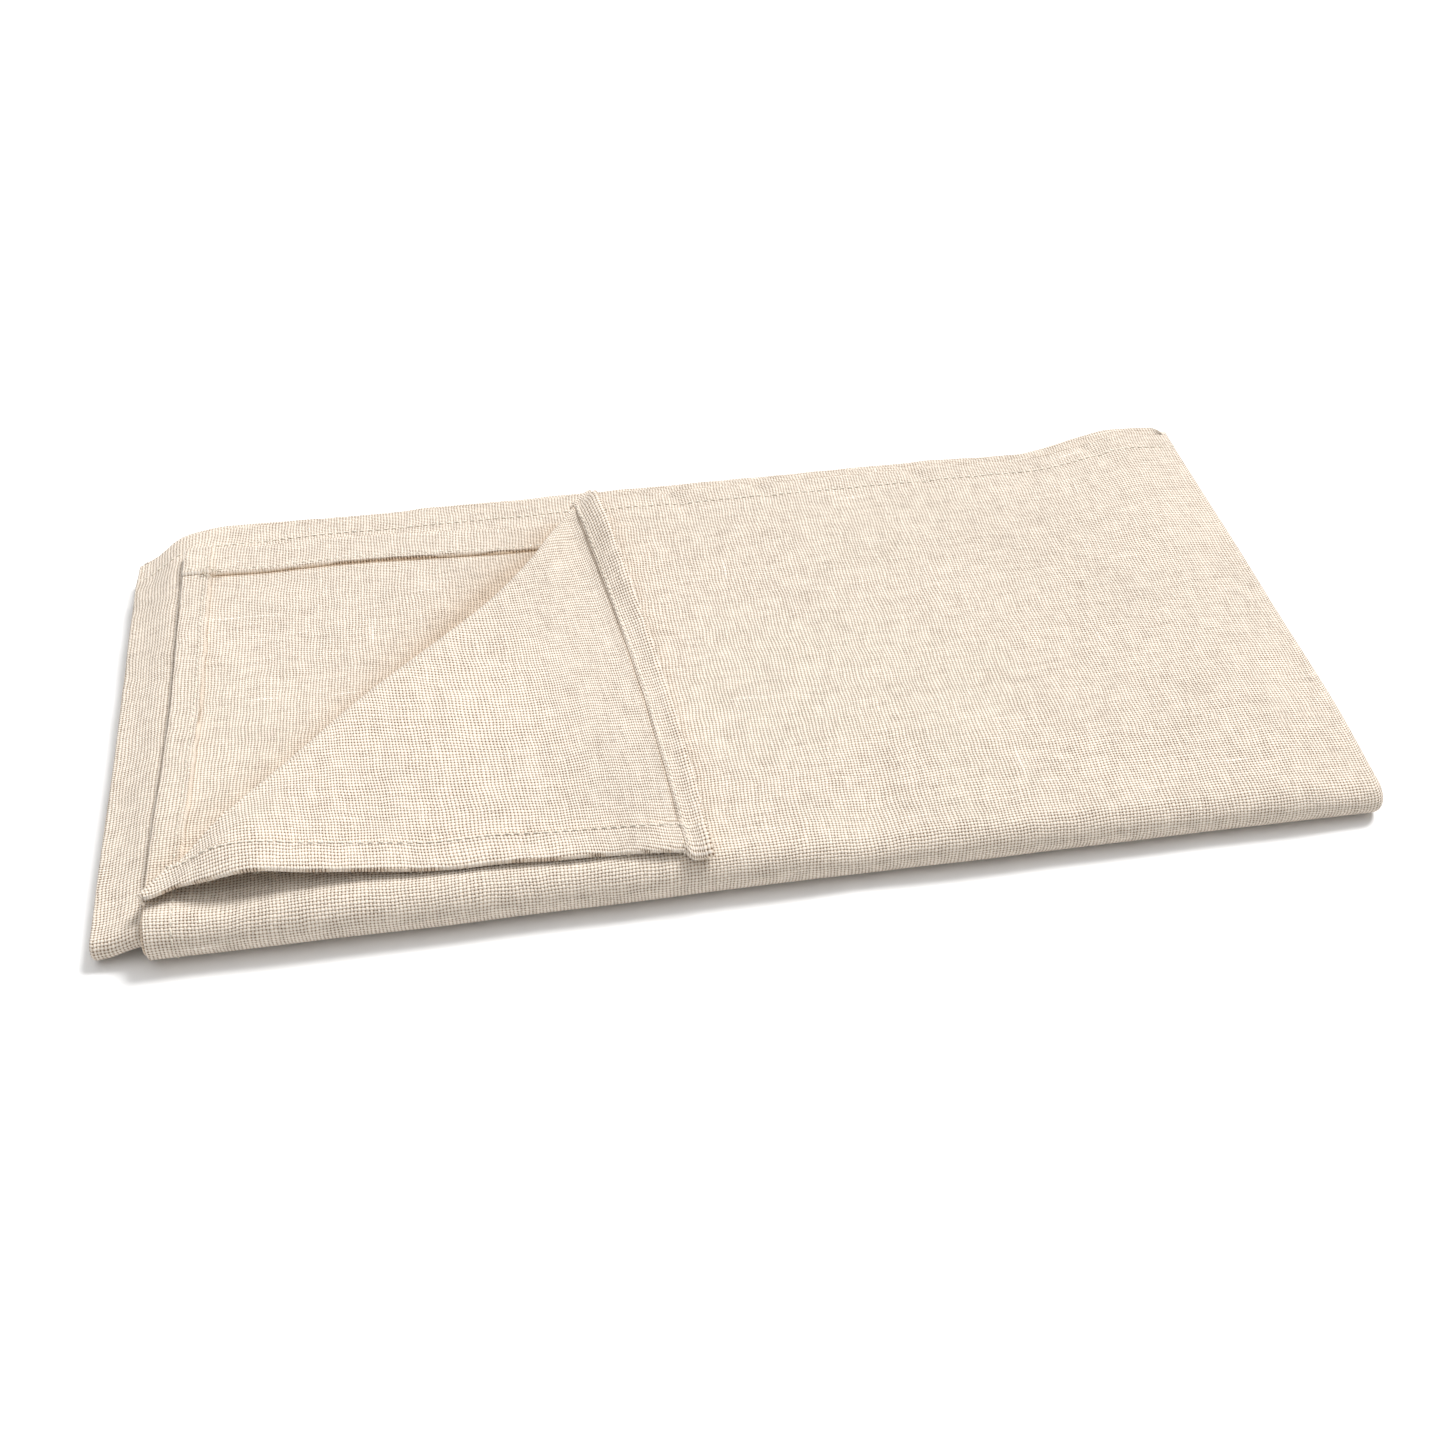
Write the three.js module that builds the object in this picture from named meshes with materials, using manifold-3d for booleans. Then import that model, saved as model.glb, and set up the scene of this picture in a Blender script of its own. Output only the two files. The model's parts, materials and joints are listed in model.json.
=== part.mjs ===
// A table runner of coarse plain-woven cotton, hemmed on all four sides and folded for the shelf.
//
// The cloth is folded crosswise into four plies, and the four together once more lengthwise, so
// eight plies lie on each other, numbered here by level from 0 at the bottom to 7 at the top. The
// lengthwise fold is along the front. One corner of the top ply is turned back over a slanting
// crease. The cloth is divided at its bends, so each piece below is a flat ply, a bend, a hem or
// the thread of one seam.
//
// Millimetres. X runs along the packet, Y from the front fold to the hemmed back edges, Z up.
// The origin is at the middle of the packet's underside.
import * as THREE from "three";
import Module from "manifold-3d";
import { mergeVertices } from "three/addons/utils/BufferGeometryUtils.js";

const wasm = await Module();
wasm.setup();

// ---- Driving dimensions ----------------------------------------------------------------------

const RUNNER_LENGTH = 1500; // the cloth laid out flat, hem to hem
const RUNNER_WIDTH = 385;
const CLOTH = 0.8; // thickness of one layer
const PRESSED = 0.625; // three layers sewn into a hem, as a share of three loose ones
const LOFT = 0.35; // air between neighbouring plies where their hems cross
const GAP = 0.3; // clearance between pieces that meet

const HEM_WIDTH = 12;
const THREAD = 0.5; // sewing thread, across
const STITCH_INSET = 2; // stitch line from the hem's inner edge

const END_SETBACK = 15; // the outer ply's end from the half-length fold
const SECOND_END_REACH = 1.5; // the second ply's end shows this far past the outer ply's
const OUTER_SKEW = 2; // how far off centre each ply is folded lengthwise: its upper half is
const SECOND_SKEW = 13; // this much shorter, and its lower half this much longer

const CREASE_ALONG_BACK = 143.5; // crease's back end, from the top ply's end
const CREASE_FROM_FRONT = 8.5; // crease's front end, from the start of the front fold
const CREASE_RISE = 3; // the crease is a loose roll at its back end, whose middle lies this much higher
const CORNER_LONG_PULL = 1.297; // the turned corner was pulled askew: its two hemmed sides, as
const CORNER_END_PULL = 0.952; // shares of the sides of a square corner

const ARC_STEPS = 10; // facets round a half-turn of cloth
const THREAD_SIDES = 6;

// ---- Values that follow from them ------------------------------------------------------------

const HALF_CLOTH = CLOTH / 2;
const HEM_THICKNESS = 3 * CLOTH * PRESSED;
const HALF_HEM = HEM_THICKNESS / 2;
const PLY_PITCH = 3 * HALF_HEM - HALF_CLOTH + LOFT;
const TOP_LEVEL = 7;
const MIDDLE_LEVEL = TOP_LEVEL / 2;
const levelHeight = (level) => HALF_CLOTH + level * PLY_PITCH; // middle of the ply

// Mid-cloth radii of the bends: one ply between the two that they join, or three, and so on.
const SHORT_BEND = PLY_PITCH / 2;
const LONG_BEND = 3 * SHORT_BEND;
const FRONT_BENDS = [7, 5, 3, 1].map((steps) => steps * SHORT_BEND); // outer, second, third, inner

// Along the packet: the cloth's length, less its three crosswise bends, makes four plies.
const BENT_LENGTH = Math.PI * (LONG_BEND + 2 * SHORT_BEND);
const PLY_LENGTH = (RUNNER_LENGTH - BENT_LENGTH + 2 * END_SETBACK - SECOND_END_REACH) / 4;
const LEFT_REACH = SHORT_BEND + HALF_CLOTH;
const RIGHT_REACH = LONG_BEND + HALF_CLOTH;
const LEFT_BEND_X = (LEFT_REACH - RIGHT_REACH - PLY_LENGTH) / 2;
const RIGHT_BEND_X = LEFT_BEND_X + PLY_LENGTH;
const OUTER_END_X = LEFT_BEND_X + END_SETBACK;
const SECOND_END_X = OUTER_END_X - SECOND_END_REACH;

// Across the packet: half of the cloth's width, less half of the front bend.
const plyDepth = (bend, skew) => (RUNNER_WIDTH - Math.PI * bend) / 2 - skew;
const FRONT_REACH = FRONT_BENDS[0] + HALF_CLOTH;
const BACK_REACH = plyDepth(FRONT_BENDS[1], -SECOND_SKEW);
const FRONT_BEND_Y = (FRONT_REACH - BACK_REACH) / 2;

// The four plies of the crosswise fold, from the outside in. Each lies in both halves.
const SHEETS = [
  { name: "outer", startX: OUTER_END_X, skew: OUTER_SKEW, hasEnd: true },
  { name: "second", startX: SECOND_END_X, skew: SECOND_SKEW, hasEnd: true },
  { name: "third", startX: LEFT_BEND_X, skew: 0, hasEnd: false },
  { name: "inner", startX: LEFT_BEND_X, skew: 0, hasEnd: false },
];
const HALVES = [
  { name: "upper", side: 1, levelOf: (sheet) => TOP_LEVEL - sheet },
  { name: "lower", side: -1, levelOf: (sheet) => sheet },
];
const backEdge = (half, sheet) =>
  FRONT_BEND_Y + plyDepth(FRONT_BENDS[sheet], half.side * SHEETS[sheet].skew);

// The slanting crease in plan, from its front end to its back end.
const CREASE_FRONT = new THREE.Vector2(OUTER_END_X, FRONT_BEND_Y + CREASE_FROM_FRONT);
const CREASE_BACK = new THREE.Vector2(OUTER_END_X + CREASE_ALONG_BACK, backEdge(HALVES[0], 0));
const CREASE_LENGTH = CREASE_FRONT.distanceTo(CREASE_BACK);
const CREASE_SLOPE = Math.asin(CREASE_RISE / CREASE_LENGTH);

// ---- Plan outlines ---------------------------------------------------------------------------
// An outline lists its corners clockwise, so its inside is on the right of every edge. Edge 0
// leaves corner 0, and so on.

// The line of one edge, moved inwards.
function edgeLine(corners, index, inset) {
  const from = corners[index % corners.length];
  const to = corners[(index + 1) % corners.length];
  const direction = to.clone().sub(from).normalize();
  const inwards = new THREE.Vector2(direction.y, -direction.x);
  return { point: from.clone().addScaledVector(inwards, inset), direction };
}

function crossing(first, second) {
  const between = second.point.clone().sub(first.point);
  const reach = between.cross(second.direction) / first.direction.cross(second.direction);
  return first.point.clone().addScaledVector(first.direction, reach);
}

// The outline with each edge moved inwards by its own inset.
function insetOutline(corners, insets) {
  const lines = insets.map((inset, index) => edgeLine(corners, index, inset));
  return lines.map((line, index) => crossing(line, lines[(index + 1) % lines.length]));
}

// The two ends of a line inside one edge, between the edges before and after it.
function lineInside(corners, index, inset, startInset, endInset) {
  const line = edgeLine(corners, index, inset);
  const before = edgeLine(corners, index + corners.length - 1, startInset);
  const after = edgeLine(corners, index + 1, endInset);
  return [crossing(line, before), crossing(line, after)];
}

// ---- Solids ----------------------------------------------------------------------------------

function toSolid(geometry) {
  const bare = geometry.clone();
  bare.deleteAttribute("normal");
  bare.deleteAttribute("uv");
  const merged = mergeVertices(bare, 1e-4);
  const vertProperties = new Float32Array(merged.attributes.position.array);
  const triVerts = new Uint32Array(merged.index.array);
  return new wasm.Manifold(new wasm.Mesh({ numProp: 3, vertProperties, triVerts }));
}

function cut(geometry, cutter) {
  const mesh = toSolid(geometry).subtract(toSolid(cutter)).getMesh();
  const result = new THREE.BufferGeometry();
  result.setAttribute("position", new THREE.BufferAttribute(mesh.vertProperties, 3));
  result.setIndex(new THREE.BufferAttribute(mesh.triVerts, 1));
  return result;
}

// A plan outline with a thickness, about the height z.
function slab(outline, thickness, z) {
  const solid = new THREE.ExtrudeGeometry(new THREE.Shape(outline), {
    depth: thickness,
    bevelEnabled: false,
  });
  return solid.translate(0, 0, z - thickness / 2);
}

// A half-turn of cloth seen along the bend, about (x, y). It bulges towards the given angle.
function halfRing(x, y, radius, angle) {
  const start = angle - Math.PI / 2;
  const end = angle + Math.PI / 2;
  return new THREE.Shape()
    .absarc(x, y, radius + HALF_CLOTH, start, end, false)
    .absarc(x, y, radius - HALF_CLOTH, end, start, true);
}

// A straight bend along Y, centred on the origin and bulging towards +X.
function straightBend(radius, length) {
  const solid = new THREE.ExtrudeGeometry(halfRing(0, 0, radius, 0), {
    depth: length,
    bevelEnabled: false,
    curveSegments: ARC_STEPS,
  });
  return solid.translate(0, 0, -length / 2).rotateX(Math.PI / 2);
}

// Half of a solid of revolution about X, kept on the -Y side. The profile holds distance from X
// first, and place along X second.
function halfRevolved(profile) {
  const turned = new THREE.LatheGeometry(profile, 2 * ARC_STEPS).rotateZ(-Math.PI / 2);
  turned.computeBoundingBox();
  const box = turned.boundingBox.expandByScalar(1);
  const size = box.getSize(new THREE.Vector3());
  const middle = box.getCenter(new THREE.Vector3());
  const cutter = new THREE.BoxGeometry(...size).translate(middle.x, size.y / 2, middle.z);
  return cut(turned, cutter);
}

// ---- Assembly --------------------------------------------------------------------------------

const COLOURS = { ply: 0xe6d9c3, fold: 0xdccdb4, hem: 0xeee3d0, thread: 0xf4ecdc };
const runner = new THREE.Group();

function addMesh(name, geometry, colour, parent = runner) {
  geometry.computeVertexNormals();
  const material = new THREE.MeshStandardMaterial({ color: colour, roughness: 0.95 });
  const mesh = new THREE.Mesh(geometry, material);
  mesh.name = name;
  parent.add(mesh);
}

// A bar along the line between two plan points, about the height z.
function barBetween([from, to], z, bar) {
  const middle = from.clone().add(to).divideScalar(2);
  return bar.rotateZ(to.clone().sub(from).angle()).translate(middle.x, middle.y, z);
}

// A hem along one edge of an outline, with a groove in its top that holds the seam's thread.
function addHem(name, corners, index, startInset, endInset, z, parent) {
  const outerSide = lineInside(corners, index, 0, startInset, endInset);
  const innerSide = lineInside(corners, index, HEM_WIDTH, startInset, endInset);
  const band = slab([...outerSide, ...innerSide.reverse()], HEM_THICKNESS, z);

  const stitchInset = HEM_WIDTH - STITCH_INSET;
  const seam = lineInside(corners, index, stitchInset, startInset + GAP, endInset + GAP);
  const length = seam[0].distanceTo(seam[1]);
  const top = z + HALF_HEM;
  const grooveWidth = THREAD + 2 * GAP;
  const groove = new THREE.BoxGeometry(length + 2 * HEM_WIDTH, grooveWidth, 2 * (THREAD + GAP));
  addMesh(`${name}_hem`, cut(band, barBetween(seam, top, groove)), COLOURS.hem, parent);

  const radius = THREAD / 2;
  const thread = new THREE.CylinderGeometry(radius, radius, length, THREAD_SIDES);
  thread.rotateZ(Math.PI / 2);
  addMesh(`${name}_stitching`, barBetween(seam, top - radius, thread), COLOURS.thread, parent);
}

// The outline of a whole ply, starting at its front left corner.
function plyOutline(half, index) {
  const startX = SHEETS[index].startX;
  const backY = backEdge(half, index);
  return [
    new THREE.Vector2(startX, FRONT_BEND_Y),
    new THREE.Vector2(startX, backY),
    new THREE.Vector2(RIGHT_BEND_X, backY),
    new THREE.Vector2(RIGHT_BEND_X, FRONT_BEND_Y),
  ];
}

// The outer ply's hems lie flush with its outer face. The others are centred on their ply.
function hemHeight(half, index, z) {
  return index === 0 ? z - half.side * (HALF_HEM - HALF_CLOTH) : z;
}

function addPly(half, index) {
  const { name, hasEnd } = SHEETS[index];
  const z = levelHeight(half.levelOf(index));
  const hemZ = hemHeight(half, index, z);
  const corners = plyOutline(half, index);
  const besideHem = HEM_WIDTH + GAP;
  const outline = insetOutline(corners, [hasEnd ? besideHem : GAP, besideHem, GAP, GAP]);
  const label = `${half.name}_${name}`;
  addMesh(`${label}_ply`, slab(outline, CLOTH, z), COLOURS.ply);
  addHem(`${label}_back`, corners, 1, hasEnd ? 0 : GAP, GAP, hemZ);
  if (hasEnd) {
    addHem(`${label}_end`, corners, 0, GAP, besideHem, hemZ);
  }
}

// The top ply has lost its corner, so the crease is its second edge.
function addTopPly() {
  const half = HALVES[0];
  const z = levelHeight(half.levelOf(0));
  const hemZ = hemHeight(half, 0, z);
  const [frontLeft, , backRight, frontRight] = plyOutline(half, 0);
  const corners = [frontLeft, CREASE_FRONT, CREASE_BACK, backRight, frontRight];
  const besideHem = HEM_WIDTH + GAP;
  const outline = insetOutline(corners, [besideHem, GAP, besideHem, GAP, GAP]);
  addMesh("upper_outer_ply", slab(outline, CLOTH, z), COLOURS.ply);
  addHem("upper_outer_back", corners, 2, GAP, GAP, hemZ);
  addHem("upper_outer_end", corners, 0, GAP, GAP, hemZ);
}

// The crosswise bends at both ends of one half. Each stops where the shorter of its plies does.
function addCrosswiseFolds(half) {
  const add = (name, radius, bendX, turn, first, second) => {
    const back = Math.min(backEdge(half, first), backEdge(half, second));
    const length = back - FRONT_BEND_Y - GAP;
    const height = levelHeight((half.levelOf(first) + half.levelOf(second)) / 2);
    const bend = straightBend(radius, length).rotateZ(turn);
    addMesh(`${half.name}_${name}`, bend.translate(bendX, back - length / 2, height), COLOURS.fold);
  };
  add("outer_quarter_fold", LONG_BEND, RIGHT_BEND_X, 0, 0, 3);
  add("nested_quarter_fold", SHORT_BEND, RIGHT_BEND_X, 0, 1, 2);
  add("half_length_fold", SHORT_BEND, LEFT_BEND_X, Math.PI, 2, 3);
}

// The lengthwise bends, nested round each other along the front.
function addFrontFolds() {
  const height = levelHeight(MIDDLE_LEVEL);
  SHEETS.forEach(({ name, startX }, index) => {
    const length = RIGHT_BEND_X - startX - 2 * GAP;
    const bend = straightBend(FRONT_BENDS[index], length).rotateZ(-Math.PI / 2);
    const middle = (startX + RIGHT_BEND_X) / 2;
    addMesh(`front_${name}_fold`, bend.translate(middle, FRONT_BEND_Y, height), COLOURS.fold);
  });
}

// Where a crosswise bend goes round the front, it is a half-turn that is itself turned by half.
function addFrontCorners() {
  const height = levelHeight(MIDDLE_LEVEL);
  const add = (name, radius, distance, bendX, angle) => {
    const profile = halfRing(distance, 0, radius, angle).closePath().getPoints(ARC_STEPS);
    const corner = halfRevolved(profile).translate(bendX, FRONT_BEND_Y, height);
    addMesh(`front_${name}_corner`, corner, COLOURS.fold);
  };
  const right = Math.PI / 2;
  add("outer_quarter", LONG_BEND, 2 * PLY_PITCH, RIGHT_BEND_X, right);
  add("nested_quarter", SHORT_BEND, 2 * PLY_PITCH, RIGHT_BEND_X, right);
  add("half_length", SHORT_BEND, PLY_PITCH, LEFT_BEND_X, -right);
}

// The bend of the turned corner. In its frame the origin is the crease's front end and X is the
// bend's axis. The bend widens along it as the axis rises, so its underside stays level.
function addCornerCrease(frame) {
  const endBend = SHORT_BEND + CREASE_RISE;
  const profile = [
    new THREE.Vector2(SHORT_BEND - HALF_CLOTH, 0),
    new THREE.Vector2(SHORT_BEND + HALF_CLOTH, 0),
    new THREE.Vector2(endBend + HALF_CLOTH, CREASE_LENGTH),
    new THREE.Vector2(endBend - HALF_CLOTH, CREASE_LENGTH),
    new THREE.Vector2(SHORT_BEND - HALF_CLOTH, 0),
  ];
  addMesh("corner_crease", halfRevolved(profile).rotateX(Math.PI), COLOURS.fold, frame);
}

// The turned corner in its own plane, with the crease from the origin along +X. The lengths of its
// three sides place the tip.
function cornerOutline() {
  const longSide = CORNER_LONG_PULL * CREASE_ALONG_BACK;
  const endSide = CORNER_END_PULL * (CREASE_BACK.y - CREASE_FRONT.y);
  const along = (endSide ** 2 - longSide ** 2 + CREASE_LENGTH ** 2) / (2 * CREASE_LENGTH);
  const out = Math.sqrt(endSide ** 2 - along ** 2);
  return [
    new THREE.Vector2(0, 0),
    new THREE.Vector2(CREASE_LENGTH, 0),
    new THREE.Vector2(along, -out),
  ];
}

function addTurnedCorner() {
  const frame = new THREE.Group();
  const axisHeight = levelHeight(TOP_LEVEL) + SHORT_BEND;
  frame.position.set(CREASE_FRONT.x, CREASE_FRONT.y, axisHeight);
  frame.rotation.set(0, -CREASE_SLOPE, CREASE_BACK.clone().sub(CREASE_FRONT).angle(), "ZYX");
  runner.add(frame);
  addCornerCrease(frame);

  const plane = new THREE.Group(); // leaves the top of the bend, which rises twice as fast
  plane.position.z = SHORT_BEND;
  plane.rotation.y = -CREASE_SLOPE;
  frame.add(plane);
  const corners = cornerOutline();
  const besideHem = HEM_WIDTH + GAP;
  const outline = insetOutline(corners, [GAP, besideHem, besideHem]);
  addMesh("corner_ply", slab(outline, CLOTH, 0), COLOURS.ply, plane);
  const hemZ = HALF_HEM - HALF_CLOTH;
  addHem("corner_back", corners, 1, GAP, 0, hemZ, plane);
  addHem("corner_end", corners, 2, besideHem, GAP, hemZ, plane);
}

addTopPly();
HALVES.forEach((half) => {
  SHEETS.forEach((sheet, index) => {
    if (half.side < 0 || index > 0) {
      addPly(half, index);
    }
  });
  addCrosswiseFolds(half);
});
addFrontFolds();
addFrontCorners();
addTurnedCorner();

export default runner;
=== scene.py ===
# %% [markdown]
# # A folded table runner
#
# A table runner is one long piece of cloth. This one was folded crosswise in half twice, which
# makes four plies, and then lengthwise in half once, which makes eight. The front edge of the
# packet is the lengthwise fold. One corner of the top ply is turned back.
#
# Each piece is a grid of points worked out with numpy from one rule: where does a point of the
# flat cloth go when the cloth is folded? The flat cloth has two coordinates, s along its length
# and w across its width, and they also serve as its texture coordinates.

import bpy
import json
import math
import numpy as np
from mathutils import Matrix, Vector


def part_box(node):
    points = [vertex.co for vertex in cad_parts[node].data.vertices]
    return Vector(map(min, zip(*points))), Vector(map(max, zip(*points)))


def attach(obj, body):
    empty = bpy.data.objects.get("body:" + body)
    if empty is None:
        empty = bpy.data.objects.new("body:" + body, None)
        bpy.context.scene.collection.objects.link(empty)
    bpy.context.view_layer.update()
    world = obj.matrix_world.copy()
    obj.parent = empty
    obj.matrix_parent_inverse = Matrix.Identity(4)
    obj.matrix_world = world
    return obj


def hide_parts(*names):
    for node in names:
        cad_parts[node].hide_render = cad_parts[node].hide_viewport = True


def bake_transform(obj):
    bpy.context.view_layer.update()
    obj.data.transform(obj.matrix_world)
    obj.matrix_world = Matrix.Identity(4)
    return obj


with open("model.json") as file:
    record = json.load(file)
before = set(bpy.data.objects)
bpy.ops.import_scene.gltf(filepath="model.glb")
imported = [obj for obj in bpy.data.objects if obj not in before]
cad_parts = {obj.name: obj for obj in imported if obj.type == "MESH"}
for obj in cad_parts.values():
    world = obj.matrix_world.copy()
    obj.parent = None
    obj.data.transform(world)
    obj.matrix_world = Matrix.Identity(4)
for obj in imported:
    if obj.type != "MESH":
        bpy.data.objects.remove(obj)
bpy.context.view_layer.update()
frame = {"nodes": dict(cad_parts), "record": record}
MM = 0.001

# %% [markdown]
# ## Sizes from the frame
#
# The frame holds the packet as plain solids. Every size below is read from one of them, so the
# cloth made here lies where they lie.

# %% Sizes


def low(node):
    return np.array(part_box(node)[0])


def high(node):
    return np.array(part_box(node)[1])


def middle_height(node):
    return float(low(node)[2] + high(node)[2]) / 2


CLOTH = float(high("upper_outer_ply")[2] - low("upper_outer_ply")[2])
TOP_Z = middle_height("upper_outer_ply")
PITCH = TOP_Z - middle_height("upper_second_ply")
MIDDLE_Z = TOP_Z - 3.5 * PITCH
STEP = PITCH / 2
RIGHT_X = float(low("upper_outer_quarter_fold")[0])
LEFT_X = float(high("upper_half_length_fold")[0])
FRONT_Y = float(high("front_outer_fold")[1])
OUTER_END_X = float(low("lower_outer_end_hem")[0])
SECOND_END_X = float(low("lower_second_end_hem")[0])
HEM = float(high("lower_outer_back_hem")[1] - low("lower_outer_back_hem")[1])
HEM_RISE = float(high("lower_outer_back_hem")[2] - low("lower_outer_back_hem")[2]) - CLOTH

# The crease of the turned corner is the corner's hinge. It ends on the top ply's back edge.
joints = {joint["name"]: joint for joint in frame["record"]["behaviour"]["joints"]}
CREASE_FRONT = np.array(joints["corner_turn"]["pos_m"])
crease_way = -np.array(joints["corner_turn"]["axis"])
OUTER_BACK_Y = float(high("upper_outer_back_hem")[1])
CREASE_BACK = CREASE_FRONT + crease_way * (OUTER_BACK_Y - CREASE_FRONT[1]) / crease_way[1]
# The bend's borders lie about half of its length inside the hinge's line, so that it opens flat.
FRONT_INSET, BACK_INSET = 4 * MM, 0.8 * MM
CREASE_FRONT[1] -= FRONT_INSET / crease_way[0]
CREASE_BACK[0] += BACK_INSET / crease_way[1]
TIP = np.array([high("corner_back_hem")[0], low("corner_back_hem")[1]])
print("ply pitch", round(PITCH / MM, 2), "mm, crease from", CREASE_FRONT, "to", CREASE_BACK)

# %% [markdown]
# ## Where the folded cloth goes
#
# Seen from the front, the four plies are a flat spiral: the outer ply runs right, bends round to
# the inner ply, which runs left, and so on. `crosswise` follows that path. It gives x, and how
# far the cloth lies from the middle of the packet. `lengthwise` then bends the whole stack round
# the front edge: a ply that lies far from the middle goes round in a wide half-circle.

# %% Folding rules
OUTER, INNER, THIRD, SECOND = 7 * STEP, 1 * STEP, 3 * STEP, 5 * STEP
flat_runs = [RIGHT_X - OUTER_END_X, RIGHT_X - LEFT_X, RIGHT_X - LEFT_X, RIGHT_X - SECOND_END_X]
bend_runs = [math.pi * 3 * STEP, math.pi * STEP, math.pi * STEP]
# Where each stretch of cloth starts, in the order outer, bend, inner, bend, third, bend, second.
run_lengths = [length for pair in zip(flat_runs, bend_runs) for length in pair] + flat_runs[3:]
RUN = np.concatenate([[0], np.cumsum(run_lengths)])
LENGTH = RUN[-1]
HALF_WIDTH = OUTER_BACK_Y - FRONT_Y + math.pi * OUTER / 2
OUTER_SKEW = (float(high("lower_outer_back_hem")[1]) - OUTER_BACK_Y) / 2
HALF_WIDTH = HALF_WIDTH + OUTER_SKEW
SECOND_SKEW = (float(high("lower_second_back_hem")[1]) - float(high("upper_second_back_hem")[1])) / 2
print("cloth", round(LENGTH, 4), "by", round(2 * HALF_WIDTH, 4), "m")


def long_hem(s):
    """Width of the long hems. They were folded narrower on the outer ply and wider on the second."""
    return HEM * np.interp(s, [RUN[1], RUN[2], RUN[5], RUN[6]], [0.85, 1, 1, 1.27])


END_HEM = 0.8 * HEM


def smooth(share):
    """0 below 0 and 1 above 1, with a smooth rise between."""
    share = np.clip(share, 0, 1)
    return share * share * (3 - 2 * share)


def crosswise(s):
    """x and height from the packet's middle, for cloth at length s. On a bend, the angle is the
    length round it divided by its radius."""
    turn = [np.clip((s - RUN[k]) / r, 0, math.pi) for k, r in ((1, 3 * STEP), (3, STEP), (5, STEP))]
    out = np.clip(s, None, RUN[1]) - RUN[0]
    inner = np.clip(s - RUN[2], 0, flat_runs[1])
    third = np.clip(s - RUN[4], 0, flat_runs[2])
    second = np.clip(s - RUN[6], 0, None)
    x = OUTER_END_X + out - inner + third - second
    x = x + 3 * STEP * np.sin(turn[0]) - STEP * np.sin(turn[1]) + STEP * np.sin(turn[2])
    sunk = [1 - np.cos(angle) for angle in turn]
    height = OUTER - 3 * STEP * sunk[0] + STEP * sunk[1] + STEP * sunk[2]
    return x, height


def skew(s):
    """How far off centre the cloth is folded lengthwise."""
    return np.interp(s, [RUN[1], RUN[2], RUN[5], RUN[6]], [OUTER_SKEW, 0, 0, SECOND_SKEW])


def lengthwise(height, across):
    """y and z for cloth at a height from the packet's middle, a signed distance from the front
    fold's middle. Round the bend, the angle is that distance divided by the height."""
    angle = np.clip(np.abs(across) / height, 0, math.pi / 2)
    flat = np.clip(np.abs(across) - height * math.pi / 2, 0, None)
    y = FRONT_Y + flat - height * np.cos(angle)
    z = MIDDLE_Z + np.sign(across) * height * np.sin(angle)
    return y, z


# %% [markdown]
# The real packet isn't as regular as that. It is thicker at its left end, its edges wander, and
# the cloth has low swells. These are added as smooth fields of the place in the packet, so plies
# that lie on each other move together and never cross.

# %% Loose fields


def bump(x, y, at, size):
    """A smooth hill, 1 high."""
    return np.exp(-(((x - at[0]) / size[0]) ** 2) - ((y - at[1]) / size[1]) ** 2)


def waves(x, y, seed, length):
    """A few crossing sine waves of about the given wavelength, between -1 and 1."""
    rng = np.random.default_rng(seed)
    total = np.zeros(np.broadcast(x, y).shape)
    for _ in range(5):
        angle = rng.uniform(0, math.pi)
        k = 2 * math.pi / (length * rng.uniform(0.7, 1.5))
        total += np.sin(k * (x * math.cos(angle) + y * math.sin(angle)) + rng.uniform(0, 6.28))
    return total / 5


def loosen(x, y, z):
    """Moves points of the regular packet to where the loose cloth lies. It is 12 per cent thicker
    at its left end and as much thinner at its right end, and slopes down to the front and right."""
    share = np.clip(z / TOP_Z, 0, 1.2)
    along = (x - LEFT_X) / (RIGHT_X - LEFT_X)
    front_slope = 0.15 * smooth((FRONT_Y + 36 * MM - y) / (44 * MM)) * (0.5 + 0.5 * along)
    right_slope = 0.12 * smooth((x - RIGHT_X + 24 * MM) / (28 * MM))
    thick = (1.12 - 0.24 * along) * (1 - front_slope - right_slope)
    swells = 0.8 * waves(x, y, 3, 0.12) + 0.3 * waves(x, y, 4, 0.04)
    under_mouth = 2.4 * MM * bump(x, y, CREASE_FRONT[:2] + np.array([17, 3]) * MM, (15 * MM, 13 * MM))
    z2 = z * thick + share * (MM * swells - valley(x, y) - under_mouth)
    # Past the ends of the outer plies, fewer plies lie on each other, so the cloth sags there.
    past_end = smooth((OUTER_END_X - x) / (15 * MM))
    creases = 0.9 * waves(x + 0.6 * y, y * 0.3, 31, 0.016) * smooth((y + 20 * MM) / (60 * MM))
    z2 = z2 + MM * past_end * (-3.6 + creases * smooth((z - 7 * MM) / (4 * MM)))
    y2 = y + MM * share * 1.2 * waves(x, z * 3, 5, 0.16) + MM * 0.5 * waves(x, y, 8, 0.05)
    # The right end's back corner was pulled out to the back.
    y2 = y2 + 11 * MM * smooth((x - RIGHT_X + 62 * MM) / (52 * MM)) * smooth((y - 10 * MM) / (80 * MM))
    x2 = x + MM * 0.8 * waves(z * 4, y, 6, 0.15)
    return x2, y2, z2


def valley(x, y):
    """A shallow dent that runs down the front slope, right of the middle."""
    line = x - 33 * MM - 0.25 * (y - FRONT_Y)
    return 1.5 * MM * np.exp(-((line / (11 * MM)) ** 2)) * smooth((FRONT_Y + 50 * MM - y) / (40 * MM))


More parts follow.
